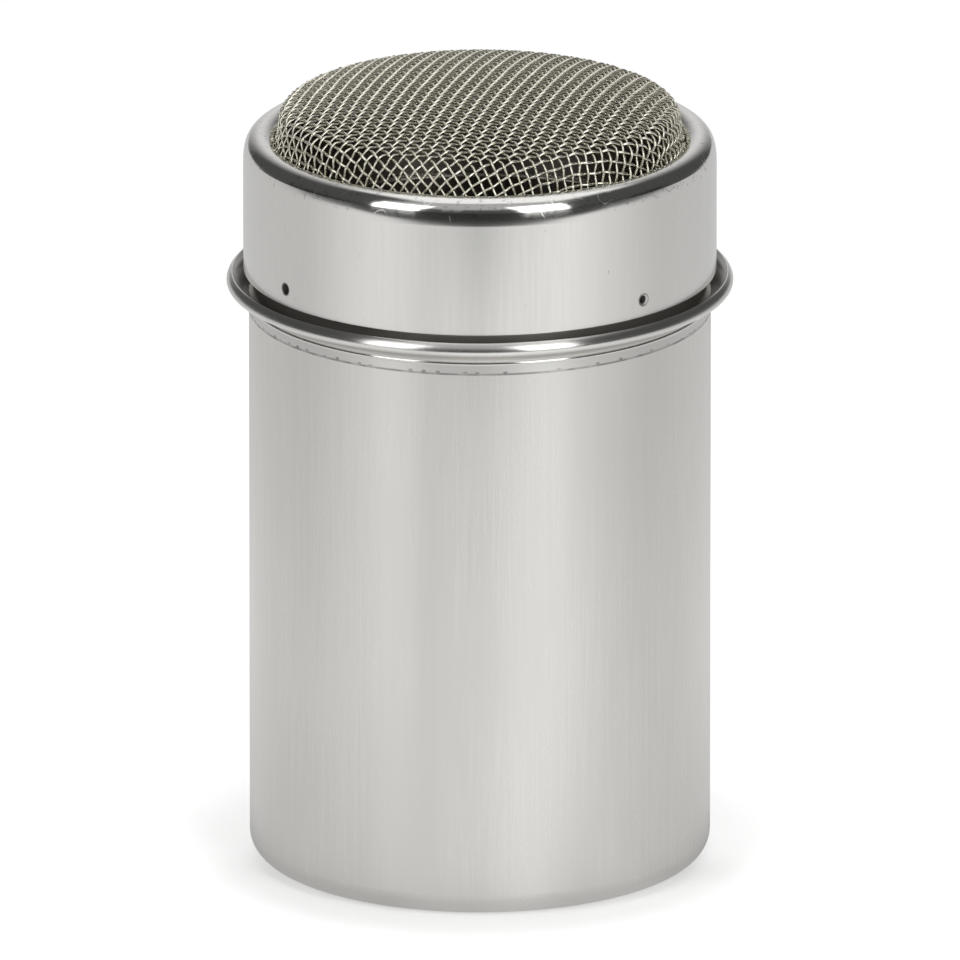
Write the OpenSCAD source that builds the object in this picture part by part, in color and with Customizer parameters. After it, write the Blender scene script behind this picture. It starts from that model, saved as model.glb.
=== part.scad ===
// Sugar caster in stainless steel: a drawn cup with a gutter collar, and a
// push-on lid that holds a domed screen of woven wire.
// Millimetres, +Z up, origin at the centre of the base. The front is -Y.

/* [Cup] */
// Outside radius of the cup
cup_r = 35; // [30:0.5:45]
// Height of the cup up to its joint with the collar
cup_h = 86; // [50:1:140]
// Thickness of the cup's sheet
cup_wall = 0.5; // [0.4:0.1:1]
// Outside radius of the rounded edge round the base
base_corner = 3.5; // [1.5:0.5:8]

/* [Collar] */
// Length of the neck that stands inside the cup's mouth
spigot_depth = 6; // [3:0.5:15]
// Clearance between the neck and the inside of the cup
spigot_gap = 0.1; // [0.05:0.05:0.2]
// Thickness of the neck's sheet
neck_wall = 0.5; // [0.4:0.1:0.8]
// Height of the neck above the joint, with its rolled edge
neck_h = 10.8; // [9:0.2:16]
// Radius of the rolled edge on top of the neck
neck_roll = 0.5; // [0.4:0.05:0.7]
// Height of the plain band between the joint and the bead
band_h = 1.9; // [1.2:0.1:2.4]
// Radius of the small bead under the gutter
bead_r = 0.45; // [0.3:0.05:0.6]
// How far the gutter's lip stands out from the cup
lip_reach = 3.4; // [3:0.1:5]
// Height of the lip's centre above the joint
lip_h = 4.7; // [4.4:0.1:5.2]
// Radius of the rolled lip
lip_r = 1.15; // [0.8:0.05:1.3]
// Thickness of the gutter's sheet
gutter_wall = 0.6; // [0.4:0.1:0.9]

/* [Lid] */
// Height of the lid's band from its lower edge to its crest
lid_h = 21; // [16:0.5:35]
// Thickness of the lid's sheet
lid_wall = 0.5; // [0.4:0.1:0.8]
// How far the lid's lower edge hangs below the top of the neck
skirt_drop = 4.2; // [3:0.1:4.8]
// Outside radius of the lid's rounded shoulder
shoulder_r = 2.5; // [2:0.1:4]
// Radius of the easy curve between the band and the shoulder
ease_r = 8; // [5:0.5:12]
// How far that easy curve turns, in degrees
ease_turn = 15; // [5:1:20]
// How far the rim turns inwards past its crest, in degrees
rim_turn = 50; // [35:1:60]
// Clearance between the dimples and the neck's rolled edge
snap_gap = 0.1; // [0.05:0.05:0.3]
// Width of a dimple in the lid's band
dimple_d = 1.8; // [1.2:0.1:2.4]
// Depth of a dimple
dimple_depth = 0.35; // [0.25:0.05:0.5]
// Height of the dimples above the lid's lower edge
dimple_rise = 2.6; // [2:0.1:2.7]
// Angles of the dimples from the front, each with another one opposite
dimple_turns = [-55, 43.5];

/* [Retaining ring] */
// Thickness of the ring that holds the screen
ring_wall = 0.8; // [0.6:0.1:1]
// Clearance between the ring and the inside of the lid
ring_fit = 0.03; // [0.02:0.01:0.1]
// Clearance between the ring and the top of the neck
seat_gap = 0.3; // [0.2:0.05:0.6]
// Outside radius of the ring's upper corner
ring_corner = 1.2; // [0.9:0.1:1.6]

/* [Screen] */
// Height of the middle of the screen above the lid's crest
screen_rise = 7.1; // [5.5:0.1:12]
// Radius of the screen's shallow dome
dome_r = 150; // [110:5:400]
// Radius of the bend between the dome and the wall
screen_bend = 2.5; // [1.5:0.1:4]
// Lean of the screen's wall from upright, in degrees
wall_lean = 9; // [4:1:14]
// Gap between the lid's rim and the screen's wires
rim_gap = 0.25; // [0.2:0.05:0.8]
// Thickness of a wire
wire_d = 0.6; // [0.4:0.05:0.7]
// Gap between two wires where they cross
cross_gap = 0.08; // [0.05:0.01:0.12]
// Spacing of the wires in the flat cloth
wire_pitch = 3.4; // [3.2:0.1:6]
// Turn of the cloth from the front, in degrees
weave_turn = 30; // [0:5:85]
// Stretch of the cloth past the dome, where it was drawn down
cloth_stretch = 1.14; // [1:0.02:1.25]
// Radius of the bend between the wall and the flange
flange_bend = 0.9; // [0.8:0.05:1.2]
// Clearance of the flange in its seat
flange_gap = 0.05; // [0.03:0.01:0.1]

/* [Hidden] */
$fn = 96;

// Collar
neck_out = cup_r - cup_wall - spigot_gap;
neck_in = neck_out - neck_wall;
neck_top = cup_h + neck_h;
roll_out = neck_out + neck_roll;
bead_z = cup_h + band_h + bead_r;
lip_z = cup_h + lip_h;
lip_c = cup_r + lip_reach - lip_r;
gutter_low = [cup_r, bead_z + gutter_wall];
to_lip = [lip_c, lip_z] - gutter_low;
gutter_slope = atan2(to_lip.y, to_lip.x) + asin(lip_r / norm(to_lip));
gutter_high = gutter_low + sqrt(to_lip * to_lip - lip_r * lip_r) * [cos(gutter_slope), sin(gutter_slope)];
gutter_thick = gutter_wall * [sin(gutter_slope), -cos(gutter_slope)];

// Lid
lid_in = roll_out + snap_gap + dimple_depth;
lid_out = lid_in + lid_wall;
lid_z = neck_top - skirt_drop;
lid_top = lid_z + lid_h;
crest_r = lid_out - ease_r + (ease_r - shoulder_r) * cos(ease_turn);
shoulder_z = lid_top - shoulder_r;
ease_z = shoulder_z - (ease_r - shoulder_r) * sin(ease_turn);
shoulder_in = shoulder_r - lid_wall;
rim_edge_r = crest_r - shoulder_r * sin(rim_turn);
rim_edge_z = shoulder_z + shoulder_r * cos(rim_turn);
rim_low_z = shoulder_z + (shoulder_r - lid_wall / 2) * cos(rim_turn) - lid_wall / 2;
dimple_ball = (dimple_d * dimple_d / 4 + dimple_depth * dimple_depth) / (2 * dimple_depth);
dimple_reach = sqrt(pow(dimple_ball + lid_wall, 2) - pow(dimple_ball + lid_wall - dimple_depth, 2));

// Screen, as the middle surface of the cloth: dome, bend, wall, bend and flange
crimp = (wire_d + cross_gap) / 2;
cloth_half = crimp + wire_d / 2;
apex_z = lid_top + screen_rise;
dome_z = apex_z - dome_r;
wall_slope = 90 - wall_lean;
wall_r = rim_edge_r - rim_gap - cloth_half;
lean = tan(wall_lean);
near_r = wall_r - screen_bend / cos(wall_lean) + lean * (rim_edge_z - dome_z);
reach = dome_r - screen_bend;
rise = (near_r * lean + sqrt((1 + lean * lean) * reach * reach - near_r * near_r)) / (1 + lean * lean);
turn_z = dome_z + rise;
turn_r = near_r - lean * rise;
edge_slope = atan2(turn_r, rise);
flange_top = rim_low_z - flange_gap;
flange_z = flange_top - cloth_half;
flange_r = crest_r + sqrt(pow(shoulder_in, 2) - pow(flange_top - shoulder_z, 2)) - wire_d / 2;
wall_top = [turn_r + screen_bend * sin(wall_slope), turn_z + screen_bend * cos(wall_slope)];
wall_low_z = flange_z + flange_bend * (1 - cos(wall_slope));
wall_low_r = wall_r + (rim_edge_z - wall_low_z) * lean;
bend_r = wall_low_r + flange_bend * sin(wall_slope);
bend_z = flange_z + flange_bend;

// Retaining ring, clear of the neck and the dimples below and of the shoulder above
ring_top = flange_z - cloth_half - flange_gap;
ring_low = max(neck_top, lid_z + dimple_rise + dimple_reach) + seat_gap;
ring_out = lid_in - ring_fit;
ring_turn = max(ring_corner, ring_top - ease_z);

// Lengths along the section, from the middle to the end of each stretch
to_rad = PI / 180;
dome_len = dome_r * edge_slope * to_rad;
bend_len = dome_len + screen_bend * (wall_slope - edge_slope) * to_rad;
wall_len = bend_len + (wall_top.y - wall_low_z) / sin(wall_slope);
foot_len = wall_len + flange_bend * wall_slope * to_rad;
flange_len = foot_len + flange_r - bend_r;
cloth_r = dome_len + (flange_len - dome_len) / cloth_stretch;
wires = floor(2 * (cloth_r - wire_pitch / 2) / wire_pitch) + 1;

// Downward slope of the section at a length along it
function slope_at(l) =
    l < dome_len ? l / dome_r / to_rad :
    l < bend_len ? edge_slope + (l - dome_len) / screen_bend / to_rad :
    l < wall_len ? wall_slope :
    l < foot_len ? wall_slope - (l - wall_len) / flange_bend / to_rad : 0;

// Radius and height of the section at a length along it
function section_at(l, a) =
    l < dome_len ? [dome_r * sin(a), dome_z + dome_r * cos(a)] :
    l < bend_len ? [turn_r + screen_bend * sin(a), turn_z + screen_bend * cos(a)] :
    l < wall_len ? wall_top + (l - bend_len) * [cos(a), -sin(a)] :
    l < foot_len ? [bend_r - flange_bend * sin(a), bend_z - flange_bend * cos(a)] :
    [bend_r + l - foot_len, flange_z];

// Where a point of the flat cloth lies after the cloth is drawn, and its normal
function drawn(v) =
    let (q = norm(v), l = q < dome_len ? q : dome_len + (q - dome_len) * cloth_stretch)
    let (a = slope_at(l), s = section_at(l, a), turn = atan2(v.y, v.x) + weave_turn)
    let (out = [cos(turn), sin(turn), 0])
    [s.x * out + [0, 0, s.y], sin(a) * out + [0, 0, cos(a)]];

// Radii in the flat cloth at which the drawn cloth bends
bends = [for (k = [0 : 3], part = [[dome_len, bend_len], [wall_len, foot_len]])
    dome_len + (part[0] + (part[1] - part[0]) * k / 3 - dome_len) / cloth_stretch];

function sorted(v) = len(v) < 2 ? v :
    let (p = v[floor(len(v) / 2)])
    concat(sorted([for (x = v) if (x < p) x]), [p], sorted([for (x = v) if (x > p) x]));

// Stops along one wire: its ends, every crossing, and the bends of the cloth
function stops(off, half) =
    let (near = wire_pitch / 12, middle = (wires - 1) / 2)
    let (crossings = [for (k = [0 : wires - 1]) (k - middle) * wire_pitch])
    let (turns = [for (q = bends, side = [-1, 1]) if (q > abs(off)) side * sqrt(q * q - off * off)])
    let (apart = [for (v = turns) if (min([for (c = crossings) abs(c - v)]) > near) v])
    sorted(concat([-half, half], [for (v = concat(crossings, apart)) if (abs(v) < half - near) v]));

function unit(v) = v / norm(v);

// One wire of four sides, swept over and under the wires that it crosses
module wire(number, across) {
    off = (number - (wires - 1) / 2) * wire_pitch;
    half = sqrt(cloth_r * cloth_r - off * off);
    way = (number % 2 == 0 ? 1 : -1) * (across ? -1 : 1);
    path = [for (v = stops(off, half))
        let (d = drawn(across ? [off, v] : [v, off]))
        let (wave = cos(180 * (v / wire_pitch + (wires - 1) / 2)))
        [d[0] + way * crimp * wave * d[1], d[1]]];
    last = len(path) - 1;
    points = [for (k = [0 : last])
        let (along = unit(path[min(k + 1, last)][0] - path[max(k - 1, 0)][0]))
        let (side = unit(cross(along, path[k][1])), up = cross(side, along))
        for (d = [up, side, -up, -side]) path[k][0] + wire_d / 2 * d];
    skin = [for (k = [0 : last - 1], j = [0 : 3])
        let (a = 4 * k + j, b = 4 * k + (j + 1) % 4)
        for (f = [[a, a + 4, b], [b, a + 4, b + 4]]) f];
    ends = [[0, 1, 2], [0, 2, 3], [4 * last, 4 * last + 2, 4 * last + 1],
            [4 * last, 4 * last + 3, 4 * last + 2]];
    polyhedron(points, concat(skin, ends), convexity = 8);
}

// Deep-drawn cup with a flat base
module cup_body() {
    color([0.80, 0.79, 0.77])
    rotate_extrude($fn = 180)
    difference() {
        union() {
            translate([0, base_corner]) square([cup_r, cup_h - base_corner]);
            square([cup_r - base_corner, cup_h / 2]);
            translate([cup_r - base_corner, base_corner]) circle(base_corner);
        }
        translate([0, base_corner]) square([cup_r - cup_wall, cup_h]);
        translate([0, cup_wall]) square([cup_r - base_corner, cup_h]);
        translate([cup_r - base_corner, base_corner]) circle(base_corner - cup_wall);
        translate([-cup_r, -cup_r]) square([cup_r, 2 * cup_h]);
    }
}

// Neck that stands in the cup's mouth, with the bead and the gutter round it
module gutter_collar() {
    color([0.76, 0.75, 0.73])
    rotate_extrude($fn = 180)
    union() {
        translate([neck_in, cup_h - spigot_depth])
            square([neck_wall, spigot_depth + neck_h - neck_roll]);
        translate([neck_out, neck_top - neck_roll]) circle(neck_roll);
        translate([neck_out - neck_wall / 2, cup_h])
            square([cup_r - neck_out + neck_wall / 2, band_h + bead_r]);
        translate([cup_r + 0.1 * bead_r, bead_z]) circle(bead_r);
        polygon([[neck_out - neck_wall / 2, bead_z - bead_r], [cup_r, bead_z - bead_r],
                 gutter_low + gutter_thick, gutter_high + gutter_thick, gutter_high,
                 gutter_low, [neck_out - neck_wall / 2, gutter_low.y]]);
        translate([lip_c, lip_z]) circle(lip_r);
    }
}

// Ball of a pressed dimple, seen from outside the lid
module dimple_at(turn, ball) {
    rotate([0, 0, turn])
        translate([0, dimple_depth - dimple_ball - lid_out, lid_z + dimple_rise])
            sphere(ball, $fn = 48);
}

// Part of a disc below the end of the easy curve
module ease_disc(disc_r) {
    translate([lid_out - ease_r, ease_z])
        intersection() {
            circle(disc_r, $fn = 360);
            polygon([[0, -shoulder_r], [2 * ease_r, -shoulder_r],
                     2 * ease_r * [cos(ease_turn), sin(ease_turn)], [0, 0]]);
        }
}

// Band of the lid, with its rounded shoulder, in-turned rim and dimples
module lid_band() {
    color([0.82, 0.81, 0.79])
    difference() {
        union() {
            rotate_extrude($fn = 180) {
                difference() {
                    union() {
                        translate([lid_out - ease_r, lid_z]) square([ease_r, ease_z - lid_z]);
                        ease_disc(ease_r);
                        translate([crest_r, shoulder_z]) circle(shoulder_r);
                    }
                    translate([0, lid_z - lid_h]) square([lid_in, ease_z - lid_z + lid_h]);
                    ease_disc(ease_r - lid_wall);
                    translate([crest_r, shoulder_z]) circle(shoulder_in);
                    translate([crest_r, shoulder_z])
                        polygon([[0, -shoulder_r], [0, 0],
                                 [-2 * shoulder_r * sin(rim_turn), 2 * shoulder_r * cos(rim_turn)],
                                 [-2 * shoulder_r, 2 * shoulder_r], [-2 * shoulder_r, -shoulder_r]]);
                }
                translate([crest_r, shoulder_z]) rotate(90 + rim_turn)
                    translate([shoulder_r - lid_wall / 2, 0]) circle(lid_wall / 2);
            }
            for (turn = dimple_turns, far = [0, 180])
                intersection() {
                    dimple_at(turn + far, dimple_ball + lid_wall);
                    translate([0, 0, lid_z]) cylinder(h = lid_h / 2, r = lid_out - lid_wall / 2, $fn = 180);
                }
        }
        for (turn = dimple_turns, far = [0, 180]) dimple_at(turn + far, dimple_ball);
    }
}

// Ring pressed into the lid, whose flat top carries the screen's flange
module screen_retaining_ring() {
    corner = [ring_out - ring_turn, ring_top - ring_turn];
    color([0.70, 0.69, 0.67])
    rotate_extrude($fn = 180)
    difference() {
        union() {
            translate([bend_r, ring_low]) square([ring_out - bend_r, corner.y - ring_low]);
            translate([bend_r, ring_low]) square([corner.x - bend_r, ring_top - ring_low]);
            translate(corner) circle(ring_turn);
        }
        translate([0, ring_low - ring_wall]) square([ring_out - ring_wall, corner.y - ring_low + ring_wall]);
        translate([0, ring_low - ring_wall]) square([corner.x, ring_top - ring_low]);
        translate(corner) circle(ring_turn - ring_wall);
    }
}

// Wires of the screen that run one way
module screen_warp_wires() {
    color([0.72, 0.70, 0.66])
    for (number = [0 : wires - 1]) wire(number, false);
}

// Wires of the screen that run the other way
module screen_weft_wires() {
    color([0.68, 0.66, 0.62])
    for (number = [0 : wires - 1]) wire(number, true);
}

cup_body();
gutter_collar();
lid_band();
screen_retaining_ring();
screen_warp_wires();
screen_weft_wires();
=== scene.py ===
import math

import bpy
import numpy as np
from mathutils import Matrix, Vector


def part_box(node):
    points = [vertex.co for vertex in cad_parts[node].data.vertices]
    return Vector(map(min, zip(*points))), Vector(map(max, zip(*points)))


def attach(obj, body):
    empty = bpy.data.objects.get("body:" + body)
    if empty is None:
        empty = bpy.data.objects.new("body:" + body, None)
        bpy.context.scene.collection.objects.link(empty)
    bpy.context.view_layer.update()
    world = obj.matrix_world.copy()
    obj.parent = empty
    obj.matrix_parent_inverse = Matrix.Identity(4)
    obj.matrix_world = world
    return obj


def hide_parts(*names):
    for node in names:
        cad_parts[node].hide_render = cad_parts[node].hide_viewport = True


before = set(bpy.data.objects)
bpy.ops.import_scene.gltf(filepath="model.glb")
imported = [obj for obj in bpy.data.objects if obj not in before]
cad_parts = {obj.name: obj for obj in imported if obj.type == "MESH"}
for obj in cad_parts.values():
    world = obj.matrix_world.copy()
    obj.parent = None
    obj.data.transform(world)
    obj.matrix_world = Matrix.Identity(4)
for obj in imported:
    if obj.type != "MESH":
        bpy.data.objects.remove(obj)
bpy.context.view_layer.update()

bl_info = {
    "name": "Sugar Caster",
    "version": (1, 0, 0),
    "blender": (4, 5, 0),
    "location": "View3D > Sidebar > Sugar Caster",
    "description": "Dresses a steel sugar caster with its woven screen, finishes and studio",
    "category": "Object",
}

MM = 0.001
CUP_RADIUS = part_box("cup_body")[1].x
JOINT_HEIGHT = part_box("cup_body")[1].z
LID_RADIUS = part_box("lid_band")[1].x
LID_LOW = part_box("lid_band")[0].z
LID_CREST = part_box("lid_band")[1].z
RING_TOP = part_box("screen_retaining_ring")[1].z
BASE_CORNER = 3.5 * MM
# Half the sheet of the cup and of the neck
HALF_SHEET = 0.25 * MM

# Waves of the uneven weave: length, heading, start and the way it sways
SWAYS = (
    (7.3 * MM, 0.4, 0.3, 2.1),
    (9.1 * MM, 1.9, 1.7, 0.2),
    (5.2 * MM, 2.7, 4.1, 1.2),
    (12.7 * MM, 1.1, 2.6, 2.9),
)
# Share of the sway in the middle of the dome, and share of the dome's length that is so calm
CALM_SWAY, CALM_PART = 0.4, 0.7
# Points at which the dome's length is measured
DOME_POINTS = 400
# Half the length over which a wire's direction is taken
NUDGE = 0.02 * MM
# Gaps up to which the lengths of a wire join and doubled points of the collar merge
WIRE_JOIN, COLLAR_JOIN = 0.01 * MM, 0.002 * MM

# Outside of the collar's neck
NECK_RADIUS = CUP_RADIUS - 0.6 * MM
# Radii of the bead's underside and face, the turns above level between which the face lies, and the
# step from it to the gutter
BEAD_UNDER, BEAD_FACE = 0.25 * MM, 0.9 * MM
BEAD_TURNS = (math.radians(12), math.radians(36))
BEAD_STEP = Vector((0.01, 0.25)) * MM
# Places under the gutter, from its trough
GUTTER_UNDER = (Vector((0.264, -0.142)) * MM, Vector((1.0, 1.05)) * MM, Vector((1.6, 1.0)) * MM)
# Turn at which the lip's edge runs into its upper face
LIP_TURN = math.radians(15)
# Steps over the lip's sharp rim and down to the gutter's wall, and the point that the wall bows
# toward, from the trough
RIM_STEP, WALL_STEP = Vector((-0.13, 0.005)) * MM, Vector((-0.04, -0.05)) * MM
WALL_BOW = Vector((1.0, 1.95)) * MM
# Steps along the parts of the collar's section, and round the axis
BEAD_STEPS, LIP_STEPS, FACE_STEPS, WALL_STEPS, ROLL_STEPS = 8, 20, 16, 10, 20
TURN_STEPS = 160
# Size of the plane that is merged to the first point of the section
SEED_SIZE = 0.1 * MM
# Turn between two faces past which the edge between them looks sharp
SHARP_TURN = math.radians(30)

# Satin steel: scale of its patches, share of its streaks against them, the span of the mottle that
# shows, and how far its tone and roughness go with it
PATCH_SCALE = (55, 55, 22)
STREAK_SHARE = 0.45
MOTTLE_SPAN = (0.3, 0.7)
DULL_TONE, PALE_TONE = 0.98, 1.015
DULL_ROUGH, PALE_ROUGH = 1.05, 0.95
STREAK_HEIGHT = 0.02 * MM
# How far the inside of a sheet is darkened with painted shade, and half the depth over which that fades
INSIDE_SHADE_DEPTH, INSIDE_FADE = 0.85, 0.06 * MM

# Tones on the steel: painted shade inside a sheet, in the trough and under the gutter; dirt of the
# joint; dark marks on the lid; painted shade with dirt in the weave's hollows
INSIDE_SHADE_TONE = (0.26, 0.23, 0.19, 1.0)
JOINT_DIRT = (0.10, 0.095, 0.09, 1.0)
TROUGH_SHADE_TONE = (0.15, 0.135, 0.11, 1.0)
GUTTER_SHADE_TONE = (0.25, 0.22, 0.18, 1.0)
LID_MARK_TONE = (0.045, 0.04, 0.035, 1.0)
WIRE_HOLLOW_SHADE = (0.27, 0.215, 0.155, 1.0)
WHITE = (1.0, 1.0, 1.0, 1.0)

# Spacing of the tool marks along the collar's joint, and the heights between which they end
MARK_SPACING = 2.1 * MM
MARK_HEIGHTS = (0.2 * MM, 0.62 * MM)
# Middle and half width of a mark in shares of the spacing, and the span of chance that sets its height
MARK_MIDDLE, MARK_WIDTH, MARK_CHANCE = (0.3, 0.7), (0.1, 0.2), (0.15, 0.75)
# Scale of the noise that makes the joint's dirt uneven, the span of it that shows, and its strength
DIRT_SCALE, DIRT_SPAN, DIRT_STRENGTH = (420, 420, 60), (0.35, 0.65), (0.3, 0.62)
# Spans over which the parts of the collar's finish fade, in height over the joint and in distance
# from the axis
JOINT_LINE = (0.2 * MM, 0.4 * MM)
BAND_TOP = (1.5 * MM, 1.6 * MM)
BEAD_TOP = (2.4 * MM, 2.2 * MM)
GUTTER_FOOT = (2.15 * MM, 2.25 * MM)
GUTTER_TOP = (4.4 * MM, 4.2 * MM)
GUTTER_REACH = (CUP_RADIUS + 2.2 * MM, CUP_RADIUS + 1.6 * MM)
TROUGH_TOP = (6.5 * MM, 5.8 * MM)
# How steeply the gutter's wall rises outwards, and the span from its sheet to its inside, in height
GUTTER_RISE = 1.85
TROUGH_SHEET = (2.0 * MM, 2.7 * MM)
# How far the trough and the gutter's underside are darkened with painted shade, and how metallic the
# trough is
TROUGH_SHADE_DEPTH, GUTTER_SHADE_DEPTH, TROUGH_METAL = 0.75, 0.3, 0.6
BAND_ROUGH, BEAD_ROUGH = 0.36, 0.2

# Heights at which the polish of the lid's shoulder begins, and its wear
SHOULDER = (LID_CREST - 3.95 * MM, LID_CREST - 3.6 * MM)
WORN = (LID_CREST - 3.3 * MM, LID_CREST - 2.9 * MM)
# Turn from the front in degrees and radius of the dark mark of each dimple in the lid
DIMPLES = ((-55.0, 0.95 * MM), (43.5, 0.72 * MM), (125.0, 0.85 * MM), (223.5, 0.85 * MM))
DIMPLE_HEIGHT = LID_LOW + 2.6 * MM
# How dark such a mark is, the share of its radius that is fully so, and the edge of its dull dent
PIT_DARK, PIT_CORE = 0.93, 0.82
DENT_EDGE = (0.95 * MM, 1.15 * MM)
# Wear on the lid: scale and detail of its noise, the span of it that shows, and strength
FLECKS = ((2600, 2600, 1500), 0.0, (0.845, 0.87), 0.22)
SPECKS = ((1100, 1100, 1100), 2.0, (0.58, 0.74), 0.3)
SCUFFED_PARTS = ((210, 210, 210), 0.0, (0.55, 0.61), 1.0)
# Hairline scuffs: scale of their noise, its middle, how near that they lie, and strength
HAIR_SCALE, HAIR_MIDDLE, HAIR_SPAN, HAIR_STRENGTH = (330, 330, 330), 0.5, (0.006, 0.022), 0.45
SHOULDER_ROUGH, SCUFF_ROUGH, DENT_ROUGH = 0.13, 0.5, 0.7
# Heights of a wire in the weave between which it goes from darkened to plain, and how dark it gets:
# painted shade, with dirt, in the weave's hollows
HOLLOW_SPAN, HOLLOW_SHADE_AND_DIRT = (-0.3 * MM, 0.14 * MM), 0.8
# How metallic a wire is, scale of the noise that dulls it, its tones, and its span and roughness
WIRE_METAL, WIRE_SCALE, WIRE_TONES = 0.9, (900, 900, 900), (0.93, 1.1)
WIRE_SPAN, WIRE_ROUGH = (0.3, 0.7), (0.3, 0.2)

FLOOR_SIZE, FLOOR_DROP = 12.0, 0.02 * MM
# Tones of the floor as it lights the caster, and the scale of the clouds between them
FLOOR_TONES, CLOUD_SCALE = ((0.86, 0.86, 0.86, 1.0), (0.88, 0.88, 0.88, 1.0)), (6, 6, 6)
FRONT = (0, -1, 0)
# Floor to the camera: its glow from the cup's foot outwards, dimmed near the foot as a painted contact
# shadow, and the painted shadow close before the foot
FOOT_REACH, FOOT_GLOW = (38 * MM, 52 * MM), (0.475, 0.578)
SHADE_TURN, SHADE_REACH, SHADE_DEPTH = (0.0, 0.4), (37 * MM, 48 * MM), 0.12
# Floor to the metal, a painted reflection: its plain brightness from near to far, and what its front
# adds
FLOOR_SPAN, FLOOR_PLAIN, FLOOR_FRONT = (100 * MM, 350 * MM), (0.76, 0.6), (0.12, 0.27)
FRONT_TURN = (-0.1, 0.8)
# Painted beams of light on that floor: heading, span of the turn toward it, and gain
PAINTED_BEAMS = ((FRONT, 0.9, 1.0, 0.13), ((0.5, -0.866, 0), 0.84, 1.0, 0.1))
# Dark end of that floor toward the viewer, how far it slants to the sides, and rings of painted shadow
# round the cup
FLOOR_END, END_SLANT, END_BRIGHTNESS = (-0.5, -0.36), 0.4, 0.03
PAINTED_SHADOW_RINGS = (((34 * MM, 150 * MM), 0.82), ((35 * MM, 50 * MM), 0.7))

# Room to the metal: its own brightness, and then the pale back, the panel overhead, the dim gap low in
# front and the fill high in front, each with its brightness and the spans of direction it fades in over
ROOM_BRIGHTNESS = 0.07
ROOM_PARTS = (
    (0.72, (("back", 0.3, 0.5), ("aside", 0.55, 0.0))),
    (1.05, (("off_panel", 0.44, 0.28), ("up", 0.7, 0.84), ("back", -0.24, -0.08))),
    (0.03, (("back", 0.3, 0.1), ("up", 0.36, 0.2))),
    (0.46, (("back", -0.1, -0.3), ("aside", 0.6, 0.4), ("up", 0.5, 0.66))),
)
PANEL_SHIFT = 0.07
# Softboxes: name, turn from the front to the right in degrees, and share of the set radiance
SOFTBOXES = (("softbox left", -42, 1.0), ("softbox right", 32, 1.25))
SOFTBOX_WIDTH, SOFTBOX_HEIGHT = 0.36, 0.68
SOFTBOX_DISTANCE, SOFTBOX_ELEVATION = 0.9, math.radians(31)
SOFTBOX_AIM = Vector((0, 0, 60 * MM))
# Width of the camera's sensor in millimetres, and the nearest that it sees
SENSOR_WIDTH, NEAREST = 36.0, 0.1


class ScreenSizes(bpy.types.PropertyGroup):
    """Sizes of the woven screen."""

    wire: bpy.props.FloatProperty(
        name="Wire", description="Thickness of a wire", default=0.41 * MM, unit="LENGTH")
    spacing: bpy.props.FloatProperty(
        name="Spacing", description="Spacing of the wires in the flat cloth",
        default=1.45 * MM, unit="LENGTH")
    slack: bpy.props.FloatProperty(
        name="Slack", description="Gap between two wires where they cross",
        default=0.01 * MM, unit="LENGTH")
    turn: bpy.props.FloatProperty(
        name="Turn", description="Turn of the cloth from the front",
        default=math.radians(30), unit="ROTATION")
    stretch: bpy.props.FloatProperty(
        name="Stretch", description="Stretch of the cloth where it was drawn down", default=1.14)
    dome: bpy.props.FloatProperty(
        name="Dome", description="Radius of the shallow dome in its middle",
        default=230 * MM, unit="LENGTH")
    edge: bpy.props.FloatProperty(
        name="Edge", description="Slope of the dome at its edge",
        default=math.radians(16.8), unit="ROTATION")
    bend: bpy.props.FloatProperty(
        name="Bend", description="Radius between the dome and the wall",
        default=2.5 * MM, unit="LENGTH")
    bend_height: bpy.props.FloatProperty(
        name="Bend Height", description="Height of the bend's middle over the lid's crest",
        default=1.9 * MM, unit="LENGTH")
    lean: bpy.props.FloatProperty(
        name="Lean", description="Lean of the wall from upright",
        default=math.radians(9), unit="ROTATION")
    wall: bpy.props.FloatProperty(
        name="Wall", description="Radius of the wall at the lid's crest",
        default=30.5 * MM, unit="LENGTH")
    foot: bpy.props.FloatProperty(
        name="Foot", description="Radius between the wall and the flange",
        default=0.9 * MM, unit="LENGTH")
    flange: bpy.props.FloatProperty(
        name="Flange", description="Outside radius of the flange",
        default=33.9 * MM, unit="LENGTH")
    sway: bpy.props.FloatProperty(
        name="Sway", description="Unevenness of the drawn weave",
        default=0.06 * MM, unit="LENGTH")
    sides: bpy.props.IntProperty(
        name="Sides", description="Sides of a wire", default=6, min=4, max=8)
    steps: bpy.props.IntProperty(
        name="Steps", description="Rings of a wire from one crossing to the next",
        default=4, min=2, max=6)


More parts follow.
